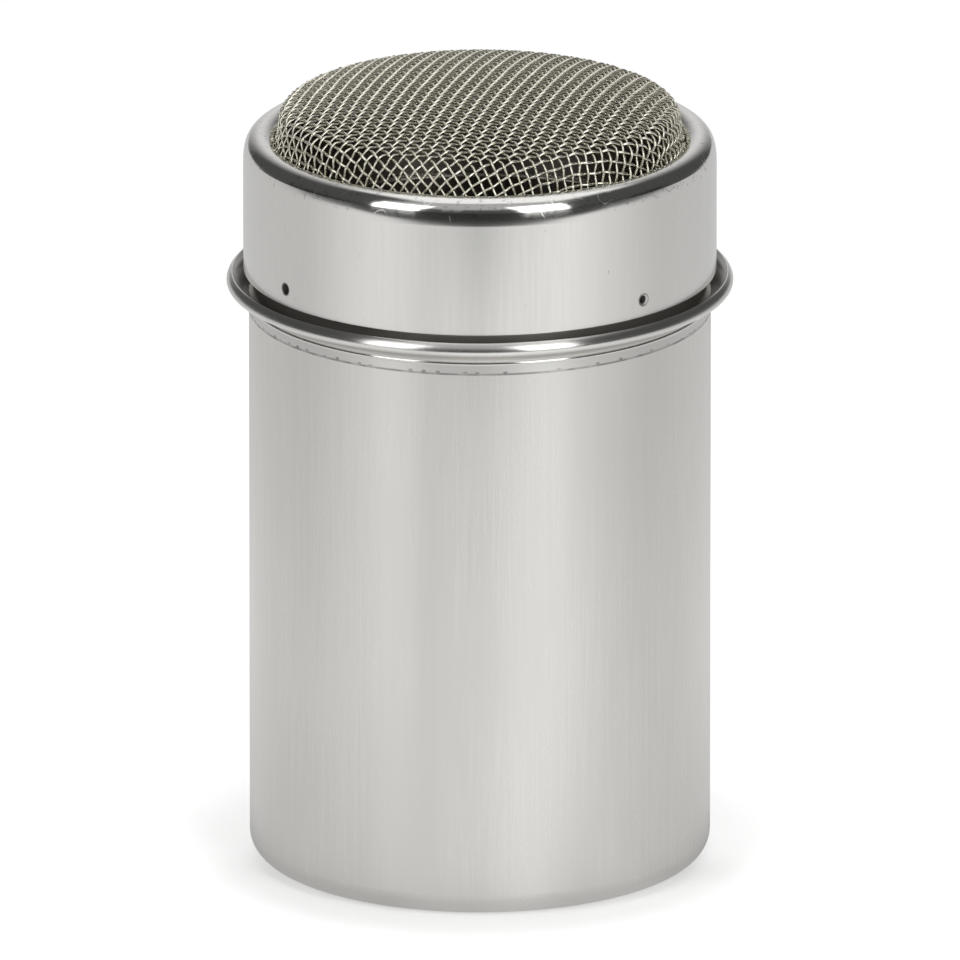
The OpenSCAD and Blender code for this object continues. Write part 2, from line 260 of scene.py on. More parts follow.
class CollarSizes(bpy.types.PropertyGroup):
    """Sizes of the collar's section."""

    spigot: bpy.props.FloatProperty(
        name="Spigot", description="Depth of the neck inside the cup",
        default=6.0 * MM, unit="LENGTH")
    neck: bpy.props.FloatProperty(
        name="Neck", description="Height of the neck over the joint",
        default=10.8 * MM, unit="LENGTH")
    sheet: bpy.props.FloatProperty(
        name="Sheet", description="Thickness of the neck's sheet",
        default=0.5 * MM, unit="LENGTH")
    roll: bpy.props.FloatProperty(
        name="Roll", description="Radius of the neck's rolled edge",
        default=0.5 * MM, unit="LENGTH")
    band: bpy.props.FloatProperty(
        name="Band", description="Height of the band between the joint and the bead",
        default=1.55 * MM, unit="LENGTH")
    trough: bpy.props.FloatProperty(
        name="Trough", description="Height of the gutter's floor over the joint",
        default=2.95 * MM, unit="LENGTH")
    reach: bpy.props.FloatProperty(
        name="Reach", description="Reach of the lip past the cup",
        default=3.4 * MM, unit="LENGTH")
    lip_height: bpy.props.FloatProperty(
        name="Lip Height", description="Height of the lip's middle over the joint",
        default=4.6 * MM, unit="LENGTH")
    lip: bpy.props.FloatProperty(
        name="Lip", description="Radius of the lip's turned edge",
        default=0.8 * MM, unit="LENGTH")
    face: bpy.props.FloatProperty(
        name="Face", description="Radius of the lip's upper face",
        default=1.9 * MM, unit="LENGTH")
    rim: bpy.props.FloatProperty(
        name="Rim", description="Turn of the lip's sharp rim above level",
        default=math.radians(55), unit="ROTATION")


class SteelFinishes(bpy.types.PropertyGroup):
    """Colours of the steel pieces."""

    cup: bpy.props.FloatVectorProperty(
        name="Cup", description="Satin steel of the cup",
        subtype="COLOR", default=(0.81, 0.796, 0.765))
    collar: bpy.props.FloatVectorProperty(
        name="Collar", description="Half-bright steel of the collar",
        subtype="COLOR", default=(0.78, 0.77, 0.745))
    lid: bpy.props.FloatVectorProperty(
        name="Lid", description="Steel of the lid's band",
        subtype="COLOR", default=(0.81, 0.80, 0.775))
    ring: bpy.props.FloatVectorProperty(
        name="Ring", description="Plain sheet of the retaining ring",
        subtype="COLOR", default=(0.42, 0.385, 0.33))
    warp: bpy.props.FloatVectorProperty(
        name="Warp", description="Wires that run one way",
        subtype="COLOR", default=(0.99, 0.935, 0.80))
    weft: bpy.props.FloatVectorProperty(
        name="Weft", description="Wires that cross them",
        subtype="COLOR", default=(0.97, 0.915, 0.78))


class StudioSetting(bpy.types.PropertyGroup):
    """Camera and light."""

    elevation: bpy.props.FloatProperty(
        name="Elevation", description="Angle of the view above level",
        default=math.radians(17.4), unit="ROTATION")
    roll: bpy.props.FloatProperty(
        name="Roll", description="Roll of the camera", default=0.0, unit="ROTATION")
    aim: bpy.props.FloatVectorProperty(
        name="Aim", description="Point in the middle of the picture",
        subtype="TRANSLATION", default=(0.015 * MM, 0.0, 58.57 * MM))
    frame_width: bpy.props.FloatProperty(
        name="Frame", description="Width of the picture at the aim",
        default=145.65 * MM, unit="LENGTH")
    lens: bpy.props.FloatProperty(
        name="Lens", description="Focal length in millimetres", default=1500.0)
    softbox: bpy.props.FloatProperty(
        name="Softbox", description="Radiance of the softboxes, before each one's share", default=2.1)


def screen_sizes():
    return bpy.context.scene.caster_screen


def collar_sizes():
    return bpy.context.scene.caster_collar


def finishes():
    return bpy.context.scene.caster_steel


def studio():
    return bpy.context.scene.caster_studio


def start_fresh():
    """Leaves edit mode and selects nothing, so that an operator acts on its own piece."""
    if bpy.context.object and bpy.context.object.mode != "OBJECT":
        bpy.ops.object.mode_set(mode="OBJECT")
    bpy.ops.object.select_all(action="DESELECT")


def apply_array(piece, step, count, merge):
    """Repeats a piece along one way and keeps the result as its mesh."""
    rows = piece.modifiers.new("rows", "ARRAY")
    rows.use_relative_offset = False
    rows.use_constant_offset = True
    rows.constant_offset_displace = step
    rows.count = count
    rows.use_merge_vertices = merge
    rows.merge_threshold = WIRE_JOIN
    bpy.ops.object.modifier_apply(modifier=rows.name)


def read_points(piece):
    """Places of a mesh's points, one row each."""
    flat = np.zeros(len(piece.data.vertices) * 3)
    piece.data.vertices.foreach_get("co", flat)
    return flat.reshape(-1, 3)


def write_points(piece, points):
    """Moves a mesh's points to new places."""
    piece.data.vertices.foreach_set("co", points.astype(np.float32).ravel())
    piece.data.update()


class ScreenSection:
    """Section of the drawn cloth: dome, bend, wall, foot and flange, with lengths along it."""

    def __init__(self, s, half):
        self.s = s
        self.wall_slope = math.pi / 2 - s.lean
        lean = math.tan(s.lean)
        self.turn_z = LID_CREST + s.bend_height
        self.turn_r = s.wall - s.bend / math.cos(s.lean) - s.bend_height * lean
        self.edge_r = self.turn_r + s.bend * math.sin(s.edge)
        self.steepening = (math.tan(s.edge) - self.edge_r / s.dome) * self.edge_r / 4
        self.apex = self.turn_z + s.bend * math.cos(s.edge) + self.drop(self.edge_r)
        self.rings = np.linspace(0, self.edge_r, DOME_POINTS)
        self.lengths = np.zeros(DOME_POINTS)
        self.lengths[1:] = np.cumsum(np.hypot(np.diff(self.rings), np.diff(self.drop(self.rings))))
        self.flange_z = RING_TOP + half
        low_z = self.flange_z + s.foot * (1 - math.cos(self.wall_slope))
        low_r = s.wall + (LID_CREST - low_z) * lean
        self.foot_r = low_r + s.foot * math.sin(self.wall_slope)
        self.foot_z = self.flange_z + s.foot
        self.top = (self.turn_r + s.bend * math.sin(self.wall_slope),
                    self.turn_z + s.bend * math.cos(self.wall_slope))
        self.dome_end = self.lengths[-1]
        self.bend_end = self.dome_end + s.bend * (self.wall_slope - s.edge)
        self.wall_end = self.bend_end + (self.top[1] - low_z) / math.sin(self.wall_slope)
        self.foot_end = self.wall_end + s.foot * self.wall_slope
        self.flange_end = self.foot_end + s.flange - self.foot_r
        self.cloth_r = self.dome_end + (self.flange_end - self.dome_end) / s.stretch

    def drop(self, r):
        """Fall of the dome from its middle: a round part, and one that steepens it toward the edge."""
        return r ** 2 / (2 * self.s.dome) + self.steepening * (r / self.edge_r) ** 4

    def at(self, flat_r):
        """Radius, height and downward slope at a radius of the flat cloth."""
        s = self.s
        along = np.where(flat_r < self.dome_end, flat_r,
                         self.dome_end + (flat_r - self.dome_end) * s.stretch)
        ends = (self.dome_end, self.bend_end, self.wall_end, self.foot_end)
        stretches = [along < end for end in ends]
        dome_r = np.interp(along, self.lengths, self.rings)
        fall = dome_r / s.dome + 4 * self.steepening * dome_r ** 3 / self.edge_r ** 4
        slope = np.select(stretches, [
            np.arctan(fall), s.edge + (along - self.dome_end) / s.bend,
            np.full_like(along, self.wall_slope), self.wall_slope - (along - self.wall_end) / s.foot],
            0.0)
        past = along - self.bend_end
        r = np.select(stretches, [
            dome_r, self.turn_r + s.bend * np.sin(slope),
            self.top[0] + past * np.cos(slope), self.foot_r - s.foot * np.sin(slope)],
            self.foot_r + along - self.foot_end)
        z = np.select(stretches, [
            self.apex - self.drop(dome_r), self.turn_z + s.bend * np.cos(slope),
            self.top[1] - past * np.sin(slope), self.foot_z - s.foot * np.cos(slope)],
            self.flange_z)
        return r, z, slope

    def uneven(self, u, v):
        """Slight sway of the weave, shared by both sets of wires, and more where it was drawn down."""
        outer = np.clip((np.hypot(u, v) / self.dome_end - CALM_PART) / (1 - CALM_PART), 0, 1)
        pull = self.s.sway * (CALM_SWAY + (1 - CALM_SWAY) * outer)
        new_u, new_v = u.copy(), v.copy()
        for wave, turn, start, way in SWAYS:
            swing = pull * np.sin((u * math.cos(turn) + v * math.sin(turn)) * 2 * math.pi / wave + start)
            new_u += swing * math.cos(way)
            new_v += swing * math.sin(way)
        return new_u, new_v

    def drawn(self, u, v):
        """Points and normals of the drawn cloth at places of the flat cloth."""
        u, v = self.uneven(u, v)
        r, z, slope = self.at(np.hypot(u, v))
        turn = np.arctan2(v, u) + self.s.turn
        out = np.stack([np.cos(turn), np.sin(turn), np.zeros_like(turn)], 1)
        up = np.array([0.0, 0.0, 1.0])
        return (r[:, None] * out + z[:, None] * up,
                np.sin(slope)[:, None] * out + np.cos(slope)[:, None] * up)


def crimped_pair(name, s, crimp, phase):
    """Two wires side by side over two crossings, one rising where the other falls."""
    start_fresh()
    step = s.spacing / s.steps
    for lane in (0, 1):
        sign = phase * (1 if lane == 0 else -1)
        bpy.ops.mesh.primitive_circle_add(
            vertices=s.sides, radius=s.wire / 2, rotation=(0, math.pi / 2, 0),
            location=(0, lane * s.spacing, sign * crimp))
        if lane == 0:
            piece = bpy.context.object
            piece.name = piece.data.name = name
            bpy.ops.object.transform_apply(location=True, rotation=True, scale=True)
            bpy.ops.object.mode_set(mode="EDIT")
            bpy.ops.mesh.select_all(action="SELECT")
        for k in range(2 * s.steps):
            lift = math.cos(math.pi * (k + 1) / s.steps) - math.cos(math.pi * k / s.steps)
            bpy.ops.mesh.extrude_region_move(
                TRANSFORM_OT_translate={"value": (step, 0, sign * crimp * lift)})
        bpy.ops.mesh.select_all(action="DESELECT")
    bpy.ops.object.mode_set(mode="OBJECT")
    return piece


def trim_round(piece, s, cloth_r):
    """Cuts the flat cloth round, whole rings of a wire at a time, and closes the cut ends."""
    points = read_points(piece)
    lane = np.round(points[:, 1] / s.spacing) * s.spacing
    away = (np.hypot(points[:, 0], lane) > cloth_r) | (np.abs(lane) > cloth_r - s.spacing / 2)
    piece.data.vertices.foreach_set("select", away)
    bpy.ops.object.mode_set(mode="EDIT")
    bpy.ops.mesh.delete(type="VERT")
    bpy.ops.mesh.select_all(action="SELECT")
    bpy.ops.mesh.delete_loose()
    bpy.ops.mesh.select_all(action="SELECT")
    bpy.ops.mesh.fill_holes(sides=s.sides)
    bpy.ops.mesh.select_all(action="SELECT")
    bpy.ops.mesh.normals_make_consistent(inside=False)
    bpy.ops.object.mode_set(mode="OBJECT")


def press_to_dome(piece, s, section, across):
    """Draws the flat cloth over the dome: each wire keeps its thickness round its own line."""
    points = read_points(piece)
    lane = np.round(points[:, 1] / s.spacing) * s.spacing
    along, aside, lift = points[:, 0], points[:, 1] - lane, points[:, 2]
    height = piece.data.attributes.new("height", "FLOAT", "POINT")
    height.data.foreach_set("value", lift.astype(np.float32))

    def line(u):
        return section.drawn(-lane, u) if across else section.drawn(u, lane)

    place, normal = line(along)
    way = line(along + NUDGE)[0] - line(along - NUDGE)[0]
    way /= np.linalg.norm(way, axis=1)[:, None]
    side = np.cross(normal, way)
    side /= np.linalg.norm(side, axis=1)[:, None]
    write_points(piece, place + aside[:, None] * side + lift[:, None] * normal)


def make_wires(name, across):
    """All the wires that run one way, woven flat, cut round and drawn over the dome."""
    s = screen_sizes()
    crimp = (s.wire + s.slack) / 2
    section = ScreenSection(s, crimp + s.wire / 2)
    reach = math.ceil(section.cloth_r / s.spacing / 2) + 1
    piece = crimped_pair(name, s, crimp, -1 if across else 1)
    apply_array(piece, (2 * s.spacing, 0, 0), 2 * reach, True)
    apply_array(piece, (0, 2 * s.spacing, 0), 2 * reach, False)
    piece.data.transform(Matrix.Translation((-2 * reach * s.spacing, -2 * reach * s.spacing, 0)))
    trim_round(piece, s, section.cloth_r)
    press_to_dome(piece, s, section, across)
    piece.select_set(True)
    bpy.ops.object.shade_smooth()
    return piece


def arc(centre, radius, start, end, steps):
    """Points of an arc, from one angle to another."""
    turns = [start + (end - start) * k / steps for k in range(steps + 1)]
    return [centre + radius * Vector((math.cos(a), math.sin(a))) for a in turns]


def collar_section(c):
    """Outline of the collar, from the neck's foot up over joint, bead, lip, trough and rolled edge."""
    low, high = JOINT_HEIGHT - c.spigot, JOINT_HEIGHT + c.neck
    lip = Vector((CUP_RADIUS + c.reach - c.lip, JOINT_HEIGHT + c.lip_height))
    trough = Vector((CUP_RADIUS, JOINT_HEIGHT + c.trough))
    edge = Vector((NECK_RADIUS, high - c.roll))
    points = [Vector((NECK_RADIUS - c.sheet, low)), Vector((NECK_RADIUS, low)),
              Vector((NECK_RADIUS, JOINT_HEIGHT)), Vector((CUP_RADIUS, JOINT_HEIGHT))]
    bead = Vector((CUP_RADIUS, JOINT_HEIGHT + c.band + BEAD_UNDER))
    points += arc(bead, BEAD_UNDER, -math.pi / 2, BEAD_TURNS[0], BEAD_STEPS)
    bead += (BEAD_UNDER - BEAD_FACE) * Vector((math.cos(BEAD_TURNS[0]), math.sin(BEAD_TURNS[0])))
    points += arc(bead, BEAD_FACE, BEAD_TURNS[0], BEAD_TURNS[1], BEAD_STEPS)[1:]
    points.append(points[-1] + BEAD_STEP)
    points += [trough + place for place in GUTTER_UNDER]
    points += arc(lip, c.lip, -math.pi / 2, LIP_TURN, LIP_STEPS)
    face = lip + (c.lip - c.face) * Vector((math.cos(LIP_TURN), math.sin(LIP_TURN)))
    points += arc(face, c.face, LIP_TURN, c.rim, FACE_STEPS)[1:]
    rim = points[-1] + RIM_STEP
    points.append(rim)
    start, pull = rim + WALL_STEP, trough + WALL_BOW
    for k in range(WALL_STEPS + 1):
        t = k / WALL_STEPS
        points.append((1 - t) ** 2 * start + 2 * t * (1 - t) * pull + t ** 2 * trough)
    points.append(Vector((NECK_RADIUS, trough.y)))
    points += arc(edge, c.roll, -math.pi / 2, math.pi, ROLL_STEPS)
    return points


def turn_collar(c):
    """Draws the collar's section and turns it round the upright axis."""
    start_fresh()
    outline = collar_section(c)
    bpy.ops.mesh.primitive_plane_add(size=SEED_SIZE, location=(outline[0].x, 0, outline[0].y))
    piece = bpy.context.object
    piece.name = piece.data.name = "rolled_collar"
    bpy.ops.object.transform_apply(location=True, rotation=True, scale=True)
    bpy.ops.object.mode_set(mode="EDIT")
    bpy.ops.mesh.select_all(action="SELECT")
    bpy.ops.mesh.merge(type="CENTER")
    for here, there in zip(outline, outline[1:] + outline[:1]):
        step = there - here
        bpy.ops.mesh.extrude_vertices_move(TRANSFORM_OT_translate={"value": (step.x, 0, step.y)})
    bpy.ops.mesh.select_all(action="SELECT")
    bpy.ops.mesh.remove_doubles(threshold=COLLAR_JOIN)
    bpy.ops.mesh.select_all(action="SELECT")
    bpy.ops.mesh.spin(steps=TURN_STEPS, angle=2 * math.pi, center=(0, 0, 0), axis=(0, 0, 1))
    bpy.ops.mesh.select_all(action="SELECT")
    bpy.ops.mesh.remove_doubles(threshold=COLLAR_JOIN)
    bpy.ops.mesh.normals_make_consistent(inside=False)
    bpy.ops.object.mode_set(mode="OBJECT")
    bpy.ops.object.shade_smooth_by_angle(angle=SHARP_TURN)
    return piece


def new_finish(name):
    """A material with a metal shader, and its tree of nodes."""
    finish = bpy.data.materials.new(name)
    finish.use_nodes = True
    tree = finish.node_tree
    shader = tree.nodes["Principled BSDF"]
    shader.inputs["Metallic"].default_value = 1.0
    return finish, tree, shader


def node(tree, kind, inputs=None, **settings):
    """New node, with each of its inputs linked or set."""
    made = tree.nodes.new(kind)
    for key, value in settings.items():
        setattr(made, key, value)
    for key, value in (inputs or {}).items():
        if isinstance(value, bpy.types.NodeSocket):
            tree.links.new(value, made.inputs[key])
        else:
            made.inputs[key].default_value = value
    return made


def math_node(tree, operation, first, second=0.5, third=0.5):
    """Result of a step on numbers."""
    return node(tree, "ShaderNodeMath", {0: first, 1: second, 2: third}, operation=operation).outputs[0]


def times(tree, first, second):
    """Product of two numbers."""
    return math_node(tree, "MULTIPLY", first, second)


def vector_node(tree, operation, first, second=(0, 0, 0)):
    """Result of a step on vectors, a number or a vector as the step gives."""
    made = node(tree, "ShaderNodeVectorMath", {0: first, 1: second}, operation=operation)
    return made.outputs["Value" if operation in ("LENGTH", "DISTANCE", "DOT_PRODUCT") else "Vector"]


def axes(tree, place):
    """Parts of a place along the three axes."""
    return node(tree, "ShaderNodeSeparateXYZ", {"Vector": place}).outputs


def ramp_between(tree, value, low, high, out_low=0.0, out_high=1.0):
    """Smooth change from one number to another as a value goes from low to high."""
    return node(tree, "ShaderNodeMapRange", {
        "Value": value, "From Min": low, "From Max": high, "To Min": out_low, "To Max": out_high},
        interpolation_type="SMOOTHSTEP").outputs["Result"]


def blend(tree, factor, first, second):
    """Number between two others."""
    return node(tree, "ShaderNodeMix", {"Factor": factor, "A": first, "B": second}).outputs[0]


def shade(tree, factor, first, second):
    """Colour between two others, which the mix node takes at its sockets 6 and 7 and gives at 2."""
    mixed = node(tree, "ShaderNodeMix", {"Factor": factor, 6: first, 7: second}, data_type="RGBA")
    return mixed.outputs[2]


def tone(colour, by):
    """A paler or darker tone of a colour."""
    return tuple(min(1.0, c * by) for c in colour) + (1.0,)


def grain(tree, place, scale, detail=3.0):
    """Noise whose grain is as fine along each axis as the scale says."""
    mapped = node(tree, "ShaderNodeMapping", {"Vector": place, "Scale": scale}).outputs[0]
    return node(tree, "ShaderNodeTexNoise", {
        "Vector": mapped, "Scale": 1.0, "Detail": detail}).outputs["Fac"]


def radius_of(tree, place):
    """Distance from the upright axis."""
    return vector_node(tree, "LENGTH", vector_node(tree, "MULTIPLY", place, (1, 1, 0)))


def satin(tree, shader, colour, rough, streak_scale, streak_depth):
    """Drawn satin steel: fine streaks along the draw, with pale and dull patches."""
    place = node(tree, "ShaderNodeTexCoord").outputs["Object"]
    streaks = grain(tree, place, streak_scale)
    patches = grain(tree, place, PATCH_SCALE, detail=2.0)
    mottle = math_node(tree, "ADD", times(tree, streaks, STREAK_SHARE),
                       times(tree, patches, 1 - STREAK_SHARE))
    colour_out = shade(tree, ramp_between(tree, mottle, *MOTTLE_SPAN),
                       tone(colour, DULL_TONE), tone(colour, PALE_TONE))
    rough_out = ramp_between(tree, mottle, *MOTTLE_SPAN, rough * DULL_ROUGH, rough * PALE_ROUGH)
    bump = node(tree, "ShaderNodeBump", {
        "Height": streaks, "Strength": streak_depth, "Distance": STREAK_HEIGHT})
    tree.links.new(bump.outputs[0], shader.inputs["Normal"])
    shader.inputs["Anisotropic"].default_value = 0.8
    shader.inputs["Anisotropic Rotation"].default_value = 0.25
    return place, colour_out, rough_out


def paint_inside_shade(tree, colour, away, middle):
    """Darkens the inside of a sheet whose middle lies at a distance, with painted shade."""
    inside = ramp_between(
        tree, away, middle - INSIDE_FADE, middle + INSIDE_FADE, out_low=INSIDE_SHADE_DEPTH, out_high=0.0)
    return shade(tree, inside, colour, INSIDE_SHADE_TONE)


def set_finish(tree, shader, colour, rough):
    """Gives a shader its colour and roughness."""
    tree.links.new(colour, shader.inputs["Base Color"])
    tree.links.new(rough, shader.inputs["Roughness"])


class CASTER_OT_cup(bpy.types.Operator):
    """Finish the drawn cup in satin steel"""

    bl_idname = "caster.cup"
    bl_label = "Cup"

    def execute(self, context):
        finish, tree, shader = new_finish("cup satin steel")
        place, colour, rough = satin(
            tree, shader, finishes().cup, rough=0.28, streak_scale=(2200, 2200, 60), streak_depth=0.008)
        past = math_node(tree, "SUBTRACT", radius_of(tree, place), CUP_RADIUS - BASE_CORNER)
        below = math_node(tree, "SUBTRACT", BASE_CORNER, axes(tree, place)["Z"])
        corner = node(tree, "ShaderNodeCombineXYZ", {
            "X": math_node(tree, "MAXIMUM", past, 0.0), "Y": math_node(tree, "MAXIMUM", below, 0.0)})
        away = vector_node(tree, "LENGTH", corner.outputs[0])
        # Painted shade on the inside of the cup's sheet
        set_finish(tree, shader, paint_inside_shade(tree, colour, away, BASE_CORNER - HALF_SHEET), rough)
        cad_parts["cup_body"].material_slots[0].material = finish
        return {"FINISHED"}


def joint_dirt(tree, place, over):
    """Dirt of the joint: an uneven line, with tool marks at uneven places and heights along it."""
    x, y = axes(tree, place)[:2]
    marks = round(2 * math.pi * CUP_RADIUS / MARK_SPACING)
    lane = times(tree, math_node(tree, "ARCTAN2", y, x), marks / (2 * math.pi))
    chance = node(tree, "ShaderNodeTexWhiteNoise", {"W": math_node(tree, "FLOOR", lane)},
                  noise_dimensions="1D").outputs["Value"]
    middle = ramp_between(tree, chance, 0.0, 1.0, *MARK_MIDDLE)
    spot = math_node(tree, "SUBTRACT", math_node(tree, "FRACT", lane), middle)
    mark = ramp_between(tree, math_node(tree, "ABSOLUTE", spot), *MARK_WIDTH, out_low=1.0, out_high=0.0)
    tall = ramp_between(tree, chance, *MARK_CHANCE, *MARK_HEIGHTS)
    tick = times(tree, mark, math_node(tree, "LESS_THAN", over, tall))
    line = ramp_between(tree, over, *JOINT_LINE, out_low=1.0, out_high=0.0)
    uneven = grain(tree, place, DIRT_SCALE, detail=1.0)
    strength = ramp_between(tree, uneven, *DIRT_SPAN, *DIRT_STRENGTH)
    return times(tree, math_node(tree, "MAXIMUM", line, tick), strength)


class CASTER_OT_collar(bpy.types.Operator):
    """Turn the collar and finish it, with the fine joint line and its tool marks"""

    bl_idname = "caster.collar"
    bl_label = "Collar"

    def execute(self, context):
        piece = turn_collar(collar_sizes())
        finish, tree, shader = new_finish("collar half-bright steel")
        place, colour, rough = satin(
            tree, shader, finishes().collar, rough=0.25, streak_scale=(90, 90, 2600), streak_depth=0.03)
        over = math_node(tree, "SUBTRACT", axes(tree, place)["Z"], JOINT_HEIGHT)
        away = radius_of(tree, place)
        # Painted shade on the inside of the neck
        colour = paint_inside_shade(tree, colour, away, NECK_RADIUS - HALF_SHEET)
        colour = shade(tree, joint_dirt(tree, place, over), colour, JOINT_DIRT)
        sheet = math_node(tree, "MULTIPLY_ADD", away, -GUTTER_RISE,
                          math_node(tree, "ADD", over, GUTTER_RISE * CUP_RADIUS))
        # Painted shade in the gutter's trough, under the lid's skirt
        trough = times(tree, ramp_between(tree, sheet, *TROUGH_SHEET),
                       ramp_between(tree, over, *TROUGH_TOP))
        colour = shade(tree, times(tree, trough, TROUGH_SHADE_DEPTH), colour, TROUGH_SHADE_TONE)
        # Painted shade under the lip's overhang
        under = times(tree, ramp_between(tree, over, *GUTTER_FOOT),
                      ramp_between(tree, away, *GUTTER_REACH))
        under = times(tree, under, ramp_between(tree, over, *GUTTER_TOP))
        colour = shade(tree, times(tree, under, GUTTER_SHADE_DEPTH), colour, GUTTER_SHADE_TONE)
        dull_trough = ramp_between(tree, trough, 0.0, 1.0, out_low=1.0, out_high=TROUGH_METAL)
        tree.links.new(dull_trough, shader.inputs["Metallic"])
        past_band = ramp_between(tree, over, *BAND_TOP)
        bead = times(tree, past_band, ramp_between(tree, over, *BEAD_TOP))
        satin_band = blend(tree, past_band, BAND_ROUGH, rough)
        bright_bead = blend(tree, bead, satin_band, BEAD_ROUGH)
        set_finish(tree, shader, colour, bright_bead)
        piece.data.materials.append(finish)
        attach(piece, "cup")
        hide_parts("gutter_collar")
        return {"FINISHED"}


def dimple_marks(tree, place):
    """Dark marks in the lid's dimples, and the dull dents round them."""
    pits = dents = 0.0
    for turn, radius in DIMPLES:
        a = math.radians(turn)
        centre = (LID_RADIUS * math.sin(a), -LID_RADIUS * math.cos(a), DIMPLE_HEIGHT)
        away = vector_node(tree, "DISTANCE", place, centre)
        pit = ramp_between(tree, away, PIT_CORE * radius, radius, out_low=1.0, out_high=0.0)
        dent = ramp_between(tree, away, *DENT_EDGE, out_low=1.0, out_high=0.0)
        pits = math_node(tree, "MAXIMUM", pits, pit)
        dents = math_node(tree, "MAXIMUM", dents, dent)
    return pits, dents


def wear(tree, place, scale, detail, span, strength):
    """Worn spots, where a noise is high."""
    return ramp_between(tree, grain(tree, place, scale, detail), *span, 0.0, strength)


class CASTER_OT_lid(bpy.types.Operator):
    """Finish the lid: a satin band, and a bright shoulder and rim"""

    bl_idname = "caster.lid"
    bl_label = "Lid"

    def execute(self, context):
        finish, tree, shader = new_finish("lid steel")
        place, colour, rough = satin(
            tree, shader, finishes().lid, rough=0.18, streak_scale=(2200, 2200, 90), streak_depth=0.025)
        z = axes(tree, place)["Z"]
        used = ramp_between(tree, z, *WORN)
        pits, dents = dimple_marks(tree, place)
        # Dark marks in the dimples' pits, with random flecks and specks of wear
        dark_marks = math_node(tree, "MAXIMUM", times(tree, pits, PIT_DARK), wear(tree, place, *FLECKS))
        specks = times(tree, wear(tree, place, *SPECKS), used)
        dark_marks = math_node(tree, "MAXIMUM", dark_marks, specks)
        polished = blend(tree, ramp_between(tree, z, *SHOULDER), rough, SHOULDER_ROUGH)
        off_hair = math_node(tree, "SUBTRACT", grain(tree, place, HAIR_SCALE, detail=0.0), HAIR_MIDDLE)
        hairs = ramp_between(tree, math_node(tree, "ABSOLUTE", off_hair), *HAIR_SPAN, HAIR_STRENGTH, 0.0)
        scuffs = times(tree, times(tree, hairs, wear(tree, place, *SCUFFED_PARTS)), used)
        scuffed = blend(tree, scuffs, polished, SCUFF_ROUGH)
        dented = blend(tree, dents, scuffed, DENT_ROUGH)
        set_finish(tree, shader, shade(tree, dark_marks, colour, LID_MARK_TONE), dented)
        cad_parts["lid_band"].material_slots[0].material = finish
        return {"FINISHED"}


class CASTER_OT_retaining_ring(bpy.types.Operator):
    """Finish the retaining ring in plain sheet"""

    bl_idname = "caster.retaining_ring"
    bl_label = "Retaining Ring"

    def execute(self, context):
        finish, tree, shader = new_finish("ring sheet steel")
        colour, rough = satin(
            tree, shader, finishes().ring, rough=0.36, streak_scale=(300, 300, 2000),
            streak_depth=0.1)[1:]
        set_finish(tree, shader, colour, rough)
        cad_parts["screen_retaining_ring"].material_slots[0].material = finish
        return {"FINISHED"}


class CASTER_OT_screen(bpy.types.Operator):
    """Weave the screen's wires and draw them over the dome"""

    bl_idname = "caster.screen"
    bl_label = "Screen"

    def execute(self, context):
        for name, across, slot, colour in (
                ("screen_warp", False, "warp_wire", finishes().warp),
                ("screen_weft", True, "weft_wire", finishes().weft)):
            piece = make_wires(name, across)
            finish, tree, shader = new_finish(name.replace("_", " ") + " wire steel")
            shader.inputs["Metallic"].default_value = WIRE_METAL
            place = node(tree, "ShaderNodeTexCoord").outputs["Object"]
            dull = grain(tree, place, WIRE_SCALE, detail=2.0)
            height = node(tree, "ShaderNodeAttribute", attribute_name="height").outputs["Fac"]
            # Painted shade, with dirt, where a wire dives low in the weave
            hollow_shade_and_dirt = ramp_between(tree, height, *HOLLOW_SPAN, out_low=HOLLOW_SHADE_AND_DIRT, out_high=0.0)
            plain_wire = shade(tree, dull, *(tone(colour, by) for by in WIRE_TONES))
            rough = ramp_between(tree, dull, *WIRE_SPAN, *WIRE_ROUGH)
            set_finish(tree, shader, shade(tree, hollow_shade_and_dirt, plain_wire, WIRE_HOLLOW_SHADE), rough)
            piece.data.materials.append(finish)
            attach(piece, "lid")
            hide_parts(name + "_wires")
        return {"FINISHED"}


def painted_floor_light(tree, place, away, heading):
    """Glow of the floor in the metal, a painted reflection: pale in front, with painted beams of light,
    a painted shadow round the cup and dim at the far end.
    """
    bright = ramp_between(tree, away, *FLOOR_SPAN, *FLOOR_PLAIN)
    front = ramp_between(tree, away, *FLOOR_SPAN, *FLOOR_FRONT)
    for way, low, high, gain in ((FRONT, *FRONT_TURN, front),) + PAINTED_BEAMS:
        toward = vector_node(tree, "DOT_PRODUCT", heading, way)
        bright = math_node(tree, "ADD", ramp_between(tree, toward, low, high, 0.0, gain), bright)
    x, y = axes(tree, place)[:2]
    ahead = math_node(tree, "MULTIPLY_ADD", math_node(tree, "ABSOLUTE", x), END_SLANT, y)
    bright = times(tree, bright, ramp_between(tree, ahead, *FLOOR_END, END_BRIGHTNESS, 1.0))
    for reach, dim in PAINTED_SHADOW_RINGS:
        bright = times(tree, bright, ramp_between(tree, away, *reach, dim, 1.0))
    return bright


